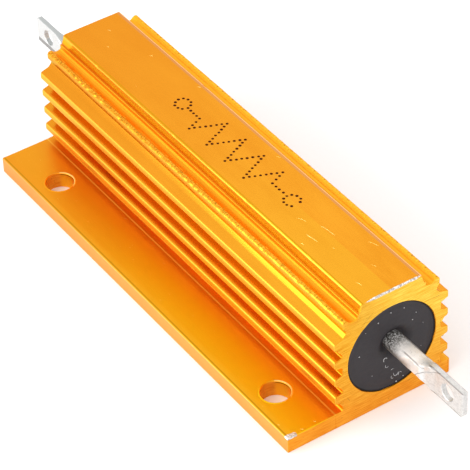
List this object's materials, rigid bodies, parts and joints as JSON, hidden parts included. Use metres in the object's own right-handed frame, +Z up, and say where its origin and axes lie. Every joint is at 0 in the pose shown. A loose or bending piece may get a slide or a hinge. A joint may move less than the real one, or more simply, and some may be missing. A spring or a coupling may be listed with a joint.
{
  "type": "aluminium housed power resistor",
  "caption": "Wirewound power resistor potted in a finned aluminium extrusion with a one-sided mounting flange and flat eyelet terminals at both ends.",
  "frame": {"origin": "on the chassis face, midway along the body and under the bore's axis", "axes": "+X along the body to the near terminal, +Z up from the chassis, and the mounting flange stands out to -Y"},
  "size_m": [0.1281, 0.0324, 0.024],
  "materials": {
    "gold_anodised_aluminium": "satin gold anodised",
    "core_ceramic": "matt fired ceramic, opaque",
    "resistance_alloy": "drawn resistance wire",
    "tinned_cap": "tinned pressing",
    "tinned_terminal": "bright hot tin",
    "black_resin": "matt cast resin",
    "potting_cement": "cast cement"
  },
  "bodies": {
    "root": {"housing": "gold_anodised_aluminium", "ceramic_core": "core_ceramic", "resistance_winding": "resistance_alloy", "end_cap_near": "tinned_cap", "end_cap_far": "tinned_cap", "terminal_near": "tinned_terminal", "terminal_far": "tinned_terminal", "end_seal_near": "black_resin", "end_seal_far": "black_resin", "potting_fill": "potting_cement"}
  },
  "joints": []
}
